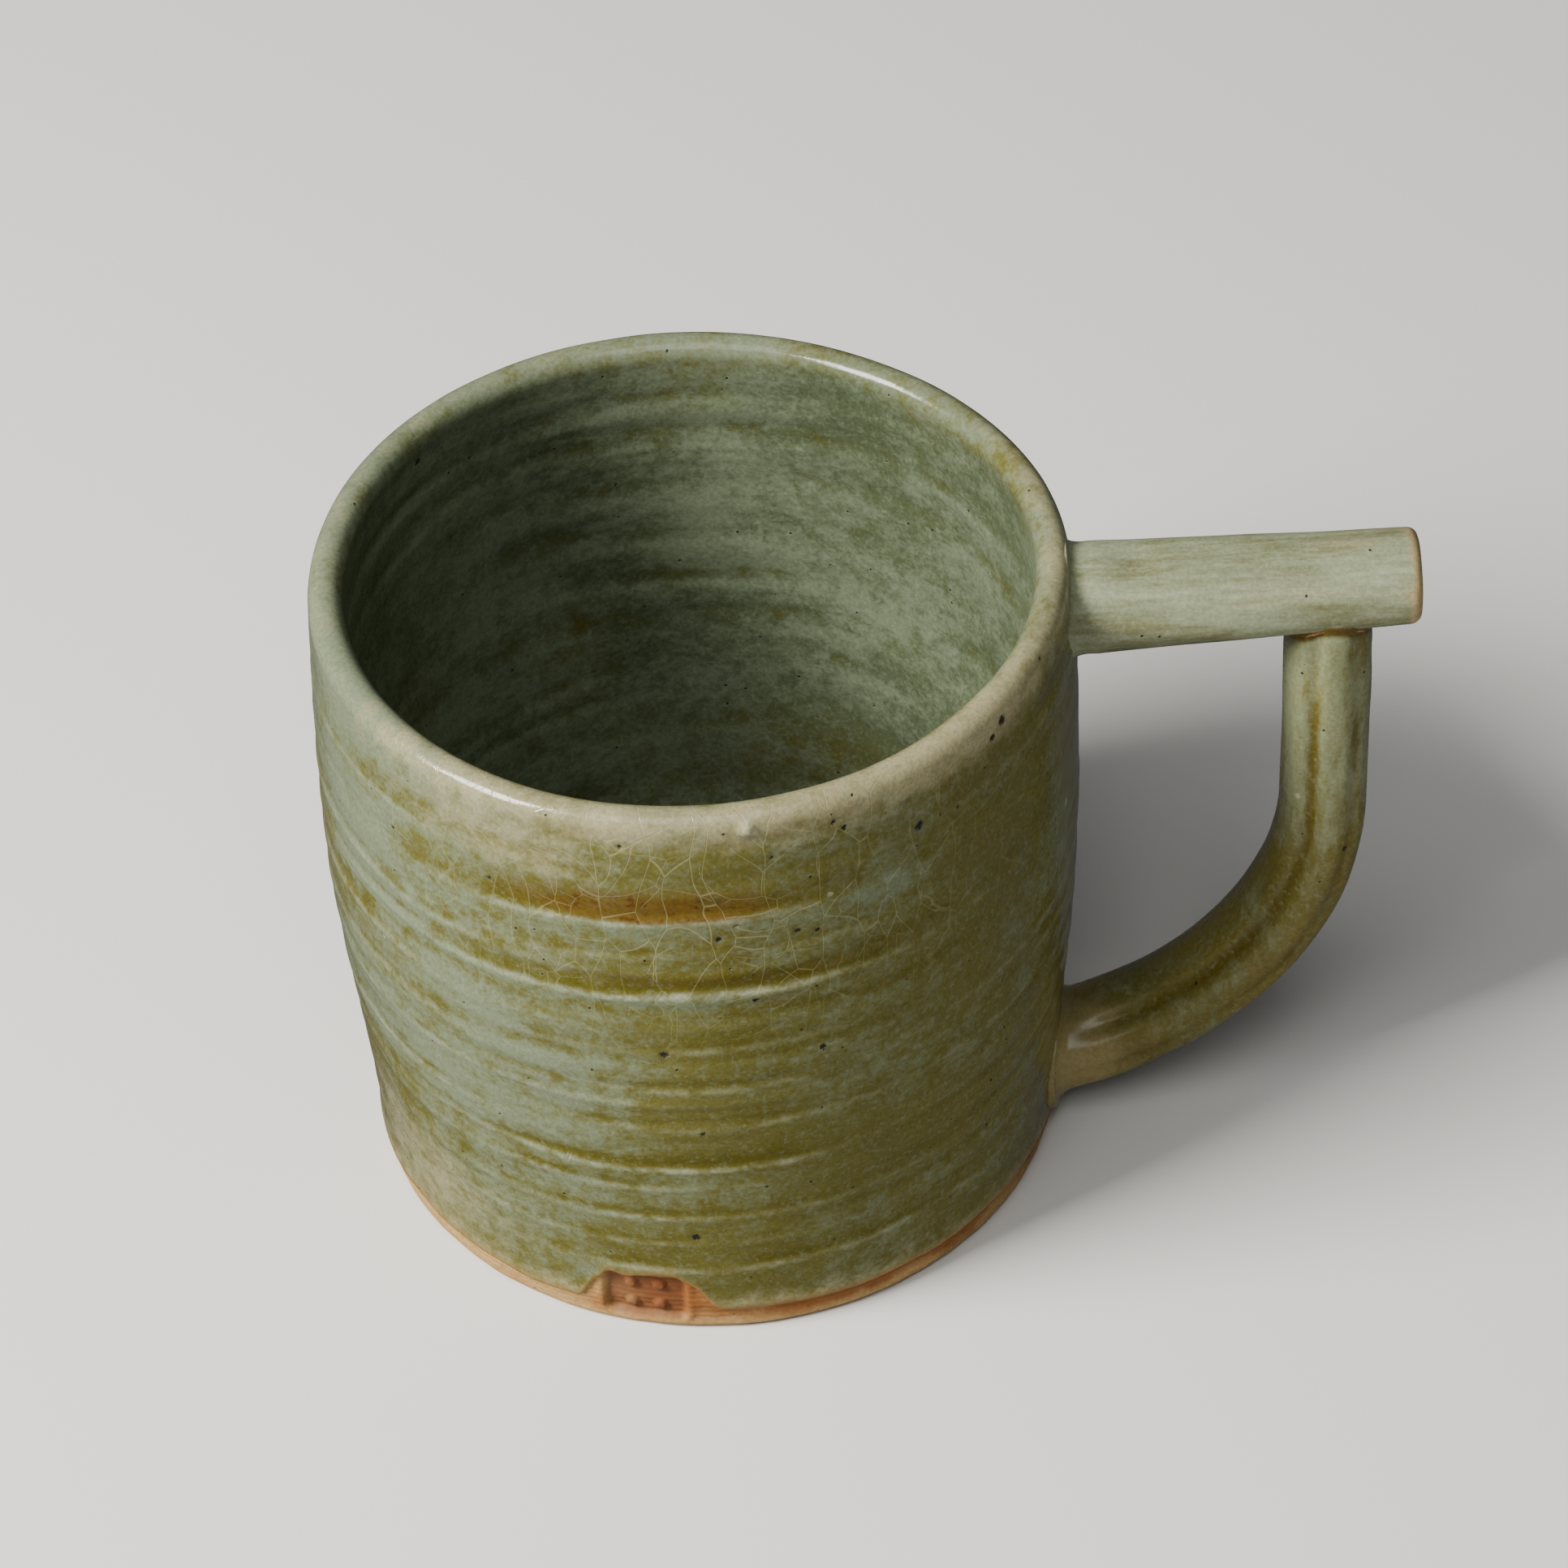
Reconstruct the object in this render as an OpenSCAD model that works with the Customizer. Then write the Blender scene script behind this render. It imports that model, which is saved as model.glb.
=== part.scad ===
// Hand-thrown stoneware mug with a two-piece handle: a straight bar that leaves the
// wall just under the rim, and a curved arm that hangs from the bar and meets the wall
// just above the foot. Millimetres, +Z up. The mug stands on z = 0 with its axis on the
// Z axis, and its handle points along +X.

/* [Thrown body] */
// Height of the mug, over the glaze on its lip
mug_h = 85.5; // [70:0.5:110]
// Radius of the fired clay at the foot
foot_r = 42; // [34:0.2:50]
// Radius of the fired clay at the belly
belly_r = 44.7; // [36:0.1:54]
// Height of the belly
belly_z = 50; // [30:1:65]
// Radius of the fired clay at the rim
rim_r = 43.6; // [36:0.1:54]
// Wall of clay at the lip
lip_wall = 3.3; // [2.4:0.1:5]
// Wall of clay just above the floor
low_wall = 4.6; // [3:0.1:7]
// Thickness of the floor
floor_t = 6; // [4:0.2:10]
// Radius of the inside corner between wall and floor
corner_r = 12; // [6:0.5:18]
// Bevel round the edge of the foot
foot_bevel = 1.2; // [0.4:0.1:3]

/* [Glaze] */
// Thickness of the fired glaze
glaze_t = 0.4; // [0.2:0.05:0.8]
// Height of the bare clay band at the foot
foot_band = 3.4; // [2:0.1:8]

/* [Stamp] */
// Width of the stamped recess
stamp_w = 10.4; // [6:0.2:14]
// Height of the stamped recess
stamp_h = 8.2; // [5:0.2:12]
// Depth of the stamped recess
stamp_deep = 0.9; // [0.4:0.1:1.5]
// Direction of the stamp round the mug, from the handle
stamp_az = -102; // [-180:1:180]
// Height of the middle of the stamp
stamp_z = 5.2; // [4.6:0.1:12]
// Bare clay left round the stamp
stamp_halo = 1.8; // [0.5:0.1:4]

/* [Handle bar] */
// Height of the middle of the bar where it leaves the wall
bar_z = 78; // [60:0.1:90]
// Slope of the bar, up towards its free tip
bar_tilt = 2.6; // [-5:0.1:10]
// Distance of the bar's tip from the mug's axis
bar_reach = 84.6; // [70:0.2:100]
// Half height of the bar at the wall
bar_half_wall = 5.8; // [4:0.05:8]
// Half height of the bar at its tip
bar_half_tip = 4.9; // [3:0.05:8]
// How far the bar's two side lobes stand out at the wall
bar_spread_wall = 1.5; // [0.4:0.05:3]
// How far they stand out at the tip
bar_spread_tip = 1.25; // [0.4:0.05:3]
// Radius of the rounded edge at the tip
bar_edge = 1.1; // [0.4:0.1:2]

/* [Handle arm] */
// Distance of the hanging part of the arm from the mug's axis
arm_reach = 74.5; // [66:0.1:84]
// Height at which the arm starts to curve
arm_curve_z = 46.3; // [40:0.1:60]
// Radius of the curve, at the middle of the arm
arm_curve_r = 38; // [30:0.5:46]
// How far the arm's foot swings round its hanging part, towards -Y
arm_swing = 6; // [-12:0.5:12]
// Half thickness of the arm, in the plane of the handle
arm_half_t = 4.75; // [3.5:0.05:7]
// Half width of the arm, across the handle
arm_half_w = 5.8; // [5:0.05:9]
// Radius of the ridges that run along the arm
ridge_r = 1.9; // [1.2:0.05:2.4]
// Spacing of the ridges
ridge_pitch = 2.7; // [2:0.05:3.2]

/* [Slip seams] */
// Thickness of the slip that joins two pieces of clay
slip_t = 0.8; // [0.5:0.05:1.5]
// How far the slip is squeezed out beyond the piece it holds
slip_out = 0.5; // [0.2:0.05:1.2]

/* [Hidden] */
$fn = 96;
clay_tone = [0.66, 0.50, 0.36];
slip_tone = [0.50, 0.38, 0.27];
glaze_tone = [0.55, 0.57, 0.45];
liner_tone = [0.50, 0.60, 0.53];
handle_tone = [0.62, 0.64, 0.50];

wall_steps = 18;       // straight steps up the wall
corner_steps = 8;      // straight steps round the inside corner
lip_steps = 8;         // straight steps round each quarter of the lip
lip_r = lip_wall / 2;
lip_z = mug_h - glaze_t - lip_r;
lip_mid = rim_r - lip_r;
corner_z = floor_t + corner_r;
wall_x = belly_r - 0.5;                    // wall surface at the bar
bury = 6;                                  // start of a handle piece inside the wall
bar_len = (bar_reach - wall_x) / cos(bar_tilt) + bury;
ridge_side = arm_half_w - ridge_r;
ridges = 3;                                // ridges on each side of the arm
crown_r = 20;                              // crown of the arm's inner and outer faces
curve_x = arm_reach - arm_curve_r;         // middle of the arm's curve
bar_mid_z = bar_z + (arm_reach - wall_x) * tan(bar_tilt);    // middle of the bar over the arm
stamp_clear = 2;                           // how far the stamp's cutter stands off the wall
stud_r = 0.85;
stud_gap = 1.75;

// ---- Profile of the thrown wall ----

// Radius of the clay at height z: a slow swell above the belly, a soft S below it
function clay_r(z) = z > belly_z
    ? belly_r - (belly_r - rim_r) * pow((z - belly_z) / (lip_z - belly_z), 2)
    : belly_r - (belly_r - foot_r) * (1 - cos(180 * (belly_z - z) / belly_z)) / 2;

// Thickness of the clay wall at height z
function wall_t(z) = lip_wall + (low_wall - lip_wall) * (lip_z - z) / (lip_z - floor_t);

// Points up the outside, t outside the clay surface, from the glaze line to the lip
function outer_z(i) = foot_band + (lip_z - foot_band) * i / wall_steps;
function outer_side(t) = [for (i = [0:wall_steps]) [clay_r(outer_z(i)) + t, outer_z(i)]];

// Points up the inside, t inside the clay surface, from the corner to the lip
function inner_z(i) = corner_z + (lip_z - corner_z) * i / wall_steps;
function inner_side(t) =
    [for (i = [0:wall_steps]) [clay_r(inner_z(i)) - wall_t(inner_z(i)) - t, inner_z(i)]];

// Points round the inside corner, from the floor to the wall
corner_x = clay_r(corner_z) - wall_t(corner_z) - corner_r;
function corner_turn(i) = 90 * i / corner_steps - 90;
function corner_arc(t) = [for (i = [0:corner_steps - 1])
    [corner_x + (corner_r - t) * cos(corner_turn(i)),
     corner_z + (corner_r - t) * sin(corner_turn(i))]];

function reversed(p) = [for (i = [len(p) - 1:-1:0]) p[i]];

// Points round the lip, t outside the clay: quarter 0 is outside its crest, 1 is inside
function lip_arc(t, quarter) = [for (i = [0:lip_steps]) let (a = 90 * (quarter + i / lip_steps))
    [lip_mid + (lip_r + t) * cos(a), lip_z + (lip_r + t) * sin(a)]];

function foot_edge() = [[0, 0], [foot_r - foot_bevel, 0], [foot_r, foot_bevel]];

// The mug without its hollow, t outside the clay above the glaze line: a cutter
module wall_solid(t) {
    rotate_extrude()
        polygon(concat(foot_edge(), [[clay_r(foot_band), foot_band]], outer_side(t),
                       lip_arc(t, 0), [[0, lip_z + lip_r + t]]));
}

// ---- Stamp near the foot ----

module stamp_outline(grow) {
    corner = 1.6;
    w = stamp_w / 2 - corner;
    h = stamp_h / 2 - corner;
    for (x = [-w, w], y = [-h, h])
        translate([x, y])
            circle(r = corner + grow);
    square([2 * w, 2 * (h + corner + grow)], center = true);
    square([2 * (w + corner + grow), 2 * h], center = true);
}

// Four plain round studs, left standing in the recess
module studs() {
    for (x = [-stud_gap, stud_gap], y = [-stud_gap, stud_gap])
        translate([x, y])
            circle(r = stud_r);
}

// A flat drawing carried to the wall and pushed out from depth below its surface
module on_wall(depth) {
    rotate([0, 0, stamp_az])
        translate([clay_r(stamp_z) - depth, 0, stamp_z])
            rotate([90, 0, 90])
                linear_extrude(stamp_clear + depth)
                    children();
}

// ---- Handle bar ----

// Profile of one lobe of the bar: a slim cone with a rounded free edge
module lobe_profile(inset) {
    tip_r = bar_half_tip - inset;
    end = bar_len - inset;
    polygon([[0, 0], [bar_half_wall - inset, 0], [tip_r, end - bar_edge], [0, end - bar_edge]]);
    translate([0, end - bar_edge])
        square([tip_r - bar_edge, bar_edge]);
    translate([tip_r - bar_edge, end - bar_edge])
        intersection() {
            circle(r = bar_edge);
            square(bar_edge);
        }
}

// The bar, inset below its glazed surface: three lobes that close in towards the tip
module bar(inset) {
    close_in = atan((bar_spread_wall - bar_spread_tip) / bar_len);
    translate([wall_x, 0, bar_z])
        rotate([0, -bar_tilt, 0])
            translate([-bury, 0, 0])
                for (side = [-1, 0, 1])
                    translate([0, side * bar_spread_wall, 0])
                        rotate([0, 90, -side * close_in])
                            rotate_extrude()
                                lobe_profile(inset);
}

// ---- Handle arm ----

// Cross-section of the arm: X is its thickness, Y its width, with three ridges a side
module arm_section(inset) {
    shift = crown_r - arm_half_t;
    intersection() {
        translate([-shift, 0])
            circle(r = crown_r - inset);
        translate([shift, 0])
            circle(r = crown_r - inset);
        square([4 * arm_half_t, 2 * ridge_side], center = true);
    }
    for (side = [-1, 1], i = [0:ridges - 1])
        translate([(i - (ridges - 1) / 2) * ridge_pitch, side * ridge_side])
            circle(r = ridge_r - inset);
}

// The plane of the arm, swung about the arm's hanging part
module arm_plane() {
    translate([arm_reach, 0, 0])
        rotate([0, 0, arm_swing])
            translate([-arm_reach, 0, 0])
                children();
}

// The arm, inset below its glazed surface: straight down from the bar, then a quarter
// turn into the wall
module arm(inset) {
    arm_plane() {
        translate([arm_reach, 0, arm_curve_z])
            linear_extrude(bar_mid_z - arm_curve_z)
                arm_section(inset);
        translate([curve_x, 0, arm_curve_z])
            rotate([-90, 0, 0])
                rotate_extrude(angle = 90)
                    translate([arm_curve_r, 0])
                        arm_section(inset);
    }
}

// ---- Slip seams, as solids that the pieces are cut by, grown by the glaze over them ----

module bar_seam(grow) {
    intersection() {
        bar(glaze_t - slip_out - grow);
        wall_solid(slip_t + grow);
    }
}

module arm_seam(grow) {
    intersection() {
        arm(glaze_t - slip_out - grow);
        wall_solid(slip_t + grow);
    }
}

module joint_seam(grow) {
    intersection() {
        arm(glaze_t - slip_out - grow);
        bar(glaze_t - slip_t - grow);
    }
}

// ---- Sub-parts: clay ----

module thrown_body() {
    color(clay_tone)
        difference() {
            rotate_extrude()
                polygon(concat(foot_edge(), outer_side(0), lip_arc(0, 0), lip_arc(0, 1),
                               reversed(inner_side(0)), reversed(corner_arc(0)), [[0, floor_t]]));
            on_wall(stamp_deep)
                difference() {
                    stamp_outline(0);
                    studs();
                }
        }
}

module handle_top_bar() {
    color(clay_tone)
        difference() {
            bar(glaze_t);
            wall_solid(slip_t);
        }
}

module handle_lower_arm() {
    color(clay_tone)
        difference() {
            arm(glaze_t);
            wall_solid(slip_t);
            bar(glaze_t - slip_t);
        }
}

// ---- Sub-parts: slip ----

module slip_bar_to_wall() {
    color(slip_tone)
        difference() {
            bar_seam(0);
            wall_solid(0);
        }
}

module slip_arm_to_wall() {
    color(slip_tone)
        difference() {
            arm_seam(0);
            wall_solid(0);
        }
}

module slip_arm_to_bar() {
    color(slip_tone)
        difference() {
            joint_seam(0);
            bar(glaze_t);
        }
}

// ---- Sub-parts: glaze ----

module outer_glaze() {
    color(glaze_tone)
        difference() {
            rotate_extrude()
                polygon(concat(outer_side(glaze_t), lip_arc(glaze_t, 0),
                               reversed(lip_arc(0, 0)), reversed(outer_side(0))));
            on_wall(stamp_deep)
                stamp_outline(stamp_halo);
            bar(glaze_t - slip_out);
            arm(glaze_t - slip_out);
        }
}

module liner_glaze() {
    color(liner_tone)
        rotate_extrude()
            polygon(concat([[0, floor_t + glaze_t]], corner_arc(glaze_t), inner_side(glaze_t),
                           reversed(lip_arc(glaze_t, 1)), lip_arc(0, 1),
                           reversed(inner_side(0)), reversed(corner_arc(0)), [[0, floor_t]]));
}

module bar_glaze() {
    color(handle_tone)
        difference() {
            union() {
                bar(0);
                bar_seam(glaze_t);
            }
            bar(glaze_t);
            bar_seam(0);
            joint_seam(0);
            wall_solid(glaze_t);
        }
}

module arm_glaze() {
    color(glaze_tone)
        difference() {
            union() {
                arm(0);
                arm_seam(glaze_t);
                joint_seam(glaze_t);
            }
            arm(glaze_t);
            arm_seam(0);
            joint_seam(0);
            wall_solid(glaze_t);
            bar(0);
        }
}

thrown_body();
outer_glaze();
liner_glaze();
handle_top_bar();
bar_glaze();
handle_lower_arm();
arm_glaze();
slip_bar_to_wall();
slip_arm_to_wall();
slip_arm_to_bar();
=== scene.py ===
"""A hand-thrown stoneware mug with a celadon glaze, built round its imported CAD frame.

Lengths are millimetres until a mesh is made, then metres. The mug stands on z = 0 with its
axis on Z, its handle points along +X, and the front that is looked at is its -Y side.
"""

import math

import bpy
import numpy as np
from mathutils import Matrix, Vector


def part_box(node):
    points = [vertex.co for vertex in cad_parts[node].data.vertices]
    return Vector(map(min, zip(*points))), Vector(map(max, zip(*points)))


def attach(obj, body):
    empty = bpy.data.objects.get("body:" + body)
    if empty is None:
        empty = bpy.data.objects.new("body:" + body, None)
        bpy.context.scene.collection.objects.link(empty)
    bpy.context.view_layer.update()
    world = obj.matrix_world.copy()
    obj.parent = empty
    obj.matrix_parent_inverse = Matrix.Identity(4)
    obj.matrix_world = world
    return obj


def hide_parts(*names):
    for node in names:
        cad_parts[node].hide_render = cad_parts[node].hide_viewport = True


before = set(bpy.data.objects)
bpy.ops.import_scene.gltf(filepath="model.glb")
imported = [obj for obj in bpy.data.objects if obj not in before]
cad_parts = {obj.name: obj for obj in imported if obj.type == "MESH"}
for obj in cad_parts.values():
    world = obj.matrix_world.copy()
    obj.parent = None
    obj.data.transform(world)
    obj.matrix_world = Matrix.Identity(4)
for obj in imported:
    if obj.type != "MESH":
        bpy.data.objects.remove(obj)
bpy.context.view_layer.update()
MM = 0.001
TURN = 2 * math.pi


def corners(node):
    """Lowest and highest corner of a CAD node, in millimetres."""
    low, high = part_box(node)
    return np.array(low) / MM, np.array(high) / MM


# ---- Sizes, from the frame ----

SKIN = 0.4                                  # thickness of the fired glaze
SINK = 0.1                                  # how far a glaze skin reaches into its clay
BELLY_R = -corners("thrown_body")[0][0]     # clay radius at the belly
FOOT_R = BELLY_R - 2.7
RIM_R = BELLY_R - 1.1
BELLY_Z = 50.0
LIP_WALL = 3.3
LIP_R = LIP_WALL / 2
LIP_Z = corners("outer_glaze")[1][2] - SKIN - LIP_R
LOW_WALL = 4.6
FLOOR_Z = corners("liner_glaze")[0][2]
CORNER_R = 12.0
BEVEL = 1.2
GLAZE_LINE = corners("outer_glaze")[0][2]   # height of the glaze's lower edge

BAR_TIP = corners("bar_glaze")[1][0]
BAR_Z = 78.0                                # height of the bar's middle at the wall
BAR_TILT = math.radians(2.6)
BAR_START = BELLY_R - 0.5
BAR_HIGH = (5.8, 4.9)                       # half height at the wall and at the tip
BAR_WIDE = (7.3, 6.15)                      # half width at the wall and at the tip
TIP_ROUND = 1.2
ARM_X = 74.5                                # middle of the hanging part of the arm
ARM_BEND_Z = 46.3
ARM_BEND_R = 38.0
ARM_SWING = math.radians(6)
ARM_THICK = 4.75                            # half thickness in the handle's plane
ARM_WIDE = 6.1                              # half width across it

SLIP_LONG = 0.5                             # of a slip seam, along its part
SLIP_INSET = 0.15

# Where the search for each end of the handle's parts begins and ends
BAR_ROOT_RANGE = (BAR_START - 8, BAR_START + 4)
ARM_TOP_RANGE = (0, 12)
ARM_FOOT_RANGE = (60, 110)

STAMP_AZ = math.radians(-102)
STAMP_Z = 5.2
STAMP_HALF = (5.2, 4.1)
STAMP_DEEP = 0.9

COLUMNS = 640                               # round the glazed wall
SEAM_DEPTH = 4.0                            # where outer glaze gives way to liner
WALL_SINK = 0.12                            # how far the wall's glaze reaches into it
ROLL = 0.7                                  # height of the glaze's rolled lower edge
SHARP = math.radians(62)                    # edges sharper than this aren't smoothed

LEDGE_CUT = 0.26                            # relief of a throwing ledge
RIDGE_RISE = 0.10                           # and of the ridge under it
PIT_DEEP = 0.22


# ---- Small numeric tools ----

def clamp(value):
    """The value, kept between 0 and 1."""
    return np.clip(value, 0, 1)


def around(columns):
    """Evenly spaced directions that make a full turn, as one row."""
    return np.linspace(0, TURN, columns, endpoint=False)[None, :]


def polar(r, theta, z):
    """Points at a radius, a direction and a height."""
    return np.stack(np.broadcast_arrays(r * np.cos(theta), r * np.sin(theta), z), axis=-1)


def smooth(value, low, high):
    """0 below low, 1 above high, and a soft step between them."""
    t = clamp((value - low) / (high - low))
    return t * t * (3 - 2 * t)


def bump(value, middle, width):
    """A soft hill of height 1 round the middle."""
    return np.exp(-((value - middle) / width) ** 2)


def angle_from(theta, azimuth):
    """Signed angle from an azimuth in degrees, in degrees."""
    return (np.degrees(theta) - azimuth + 180) % 360 - 180


def toward(theta, azimuth, reach):
    """A soft hill of height 1 on one side of the mug."""
    return bump(angle_from(theta, azimuth), 0, reach)


def lattice(cell, seed):
    """A fixed random number from -1 to 1 for each whole-number cell."""
    x, y, z = (cell[..., k].astype(np.uint64) for k in range(3))
    mask = np.uint64(0xFFFFFFFF)
    mix = x * np.uint64(374761393) + y * np.uint64(668265263)
    mix = (mix + z * np.uint64(2147483647) + np.uint64(seed * 974634777)) & mask
    mix = ((mix ^ (mix >> np.uint64(13))) * np.uint64(1274126177)) & mask
    mix = ((mix ^ (mix >> np.uint64(15))) * np.uint64(2246822519)) & mask
    return (mix ^ (mix >> np.uint64(16))).astype(float) / 2147483647.5 - 1


def noise(points, size, seed=0):
    """Smooth noise from about -1 to 1, with features of a given size, at (..., 3) points."""
    place = points / np.array(size, float) + 4096.0
    cell = np.floor(place).astype(np.int64)
    part = place - cell
    part = part ** 3 * (part * (part * 6 - 15) + 10)
    total = 0
    for corner in np.ndindex(2, 2, 2):
        weight = np.prod(np.where(corner, part, 1 - part), axis=-1)
        total = total + weight * lattice(cell + np.array(corner), seed)
    return total


def layered(points, size, seed=0, layers=3):
    """Noise with finer noise on top of it."""
    size = np.array(size, float)
    return sum(noise(points, size / 2 ** k, seed + k) / 2 ** k for k in range(layers)) / 1.5


def ring_noise(theta, lumps, seed):
    """Noise that closes on itself round the mug, with about this many lumps in a turn."""
    return noise(polar(lumps / TURN, theta, 0.0), 1.0, seed)


# ---- Profile of the thrown wall ----

def clay_radius(z):
    """Radius of the clay's outside at a height: a slow swell, and a soft S below it."""
    above = BELLY_R - (BELLY_R - RIM_R) * ((z - BELLY_Z) / (LIP_Z - BELLY_Z)) ** 2
    below = BELLY_R - (BELLY_R - FOOT_R) * (1 - np.cos(np.pi * (BELLY_Z - z) / BELLY_Z)) / 2
    return np.where(z > BELLY_Z, above, below)


def wall_thickness(z):
    """Thickness of the clay wall, which grows toward the foot."""
    return LIP_WALL + (LOW_WALL - LIP_WALL) * (LIP_Z - z) / (LIP_Z - FLOOR_Z)


def wall_profile():
    """(s, r, z, normal r, normal z) from the foot, over the lip, to the floor's centre."""
    up = np.linspace(BEVEL, LIP_Z, 400)
    lip = np.linspace(0, np.pi, 90)
    corner_z = FLOOR_Z + CORNER_R
    down = np.linspace(LIP_Z, corner_z, 400)
    inside = clay_radius(down) - wall_thickness(down)
    corner_x = inside[-1] - CORNER_R
    turn = np.linspace(0, -np.pi / 2, 120)
    floor = np.linspace(corner_x, 0, 200)
    r = np.concatenate([clay_radius(up), RIM_R - LIP_R + LIP_R * np.cos(lip[1:]), inside[1:],
                        corner_x + CORNER_R * np.cos(turn[1:]), floor[1:]])
    z = np.concatenate([up, LIP_Z + LIP_R * np.sin(lip[1:]), down[1:],
                        corner_z + CORNER_R * np.sin(turn[1:]), FLOOR_Z + 0 * floor[1:]])
    s = np.concatenate([[0], np.cumsum(np.hypot(np.diff(r), np.diff(z)))])
    step_r, step_z = np.gradient(r, s), np.gradient(z, s)
    length = np.hypot(step_r, step_z)
    return s, r, z, step_z / length, -step_r / length


PATH = wall_profile()
S_LIP = np.interp(LIP_Z, PATH[2][:400], PATH[0][:400])
S_CREST = S_LIP + LIP_R * np.pi / 2
S_SEAM = S_LIP + LIP_R * np.pi + SEAM_DEPTH
S_END = PATH[0][-1]

# Throwing ridges outside, with glaze pooled on the ledge above each:
# height of the ridge, height of the pool, strength, azimuth it is strongest at, reach
LEDGES = (
    (71.0, 2.7, 1.00, -96, 30),
    (66.2, 1.5, 0.45, -86, 36),
    (60.3, 2.5, 0.90, -92, 36),
    (51.5, 3.4, 0.40, -92, 24),
    (45.2, 2.6, 0.42, -86, 26),
    (38.6, 2.2, 0.35, -72, 44),
    (30.8, 2.8, 0.85, -101, 36),
    (27.2, 1.7, 0.50, -118, 34),
    (21.8, 2.4, 0.60, -90, 34),
    (16.6, 1.6, 0.30, -112, 44),
    (12.0, 2.1, 0.60, -86, 44),
    (76.6, 1.6, 0.35, -150, 44),
    (63.4, 1.9, 0.40, -146, 40),
    (54.6, 1.6, 0.45, -138, 40),
    (48.0, 1.8, 0.35, -150, 40),
    (42.2, 1.6, 0.45, -136, 40),
    (35.0, 1.8, 0.40, -148, 44),
)
HIDDEN_LEDGES = 26                          # more of them, round the unseen side


def ledges():
    """The ledges seen from the front, and others like them round the back."""
    pick = np.random.default_rng(5)
    low = (6, 1.4, 0.15, -15, 26)
    high = (80, 2.8, 0.50, 200, 55)
    return LEDGES + tuple(tuple(pick.uniform(low, high)) for _ in range(HIDDEN_LEDGES))


def outer_rings(theta, z, points):
    """(height, pool, crest): relief of the throwing rings outside, how much glaze the
    ledges hold, and the pale crests, where the glaze breaks thin and a highlight is painted along
    them."""
    drift = 1.1 * noise(points, (30, 30, 26), 11) + 0.35 * noise(points, (11, 11, 9), 15)
    wave = np.sin(TURN * (z + 2 * drift) / 5.7 - theta + 2.6 * noise(points, (30, 30, 8), 12))
    fine = np.sin(TURN * (z + drift) / 2.1 - theta + 3.5 * noise(points, (20, 20, 5), 13))
    strength = np.clip(0.5 + 0.8 * noise(points, (24, 24, 10), 14), 0.05, 1)
    height = 0.10 * wave * strength + 0.035 * fine * strength
    pool_and_shade = clamp(-wave) * strength * 0.35
    crest = 0 * pool_and_shade
    ragged = np.clip(0.85 + 0.75 * noise(points, (9, 9, 5), 16), 0.15, 1.25)
    for level, tall, deep, azimuth, reach in ledges():
        away = angle_from(theta, azimuth)
        fade = bump(away, 0, reach) * deep * ragged
        above = z - (level + drift + 0.012 * away)
        held = np.exp(-np.clip(above, 0, None) / tall) * smooth(above, -0.45, 0.55) * fade
        # Along the ridge under each ledge the glaze is painted pale: it breaks thin there, and a
        # highlight is painted along it.
        edge = bump(above, -0.45, 0.42) * fade
        height = height - LEDGE_CUT * held + RIDGE_RISE * bump(above, -0.6, 0.85) * fade
        pool_and_shade, crest = np.maximum(pool_and_shade, held), np.maximum(crest, edge)
    return height, clamp(pool_and_shade), crest


# Pits and iron spots that stand out near the front: azimuth, height, radius
PITS = (
    (-95.0, 50.2, 0.62),
    (-120.5, 72.6, 0.42),
    (-86.0, 68.0, 0.48),
    (-83.5, 70.0, 0.30),
    (-74.5, 67.6, 0.42),
    (-71.5, 67.0, 0.38),
    (-54.0, 76.5, 0.66),
    (-92.5, 17.5, 0.66),
    (-99.5, 81.6, 0.40),
    (-68.0, 82.0, 0.36),
    (-66.5, 80.8, 0.40),
    (-77.5, 79.2, 0.32),
    (-36.0, 83.0, 0.70),
    (-38.5, 81.8, 0.50),
)
CHIP_AZIMUTH = -81                          # a crumb of clay under the glaze of the lip


def pit_marks(theta, z):
    """1 in the middle of each pit, 0 away from all of them."""
    return sum(bump(np.hypot(np.radians(angle_from(theta, azimuth)) * RIM_R, z - height), 0, size)
               for azimuth, height, size in PITS)


def crumb(theta, s, points):
    """(relief, pale): the chip on the lip, a pale lump with a dent beside it. The paleness is thin
    glaze over the crumb together with a painted highlight.
    """
    side = np.radians(angle_from(theta, CHIP_AZIMUTH)) * RIM_R
    lump = bump(np.hypot(side, (s - S_LIP - 0.2) * 1.3), 0, 0.8)
    dent = bump(np.hypot(side - 1.1, (s - S_LIP + 1.2) * 0.8), 0, 0.8)
    ragged = 1 + 0.7 * noise(points, 0.8, 17)
    return (0.62 * lump - 0.35 * dent) * ragged, clamp(1.2 * (lump + 0.5 * dent) * ragged)


def inner_rings(theta, z, points):
    """(height, pool): relief of the throwing rings inside, and the glaze they hold."""
    drift = 1.4 * noise(points, (26, 26, 24), 21)
    wave = np.sin(TURN * (z + 1.5 * drift) / 6.8 + theta + 2.4 * noise(points, (28, 28, 9), 22))
    fine = np.sin(TURN * (z + drift) / 2.7 + theta + 3.5 * noise(points, (20, 20, 6), 23))
    strength = np.clip(0.5 + 0.7 * noise(points, (22, 22, 12), 24), 0.05, 1)
    return 0.15 * wave * strength + 0.04 * fine * strength, clamp(-wave) * strength * 0.5


def floor_spiral(theta, r, points):
    """(height, pool): the spiral that a finger leaves on the floor inside."""
    wave = np.sin(TURN * r / 7.0 - theta + 1.2 * noise(points, 16, 31))
    return 0.28 * wave * smooth(r, 1.5, 9), clamp(-wave) * 0.5


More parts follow.
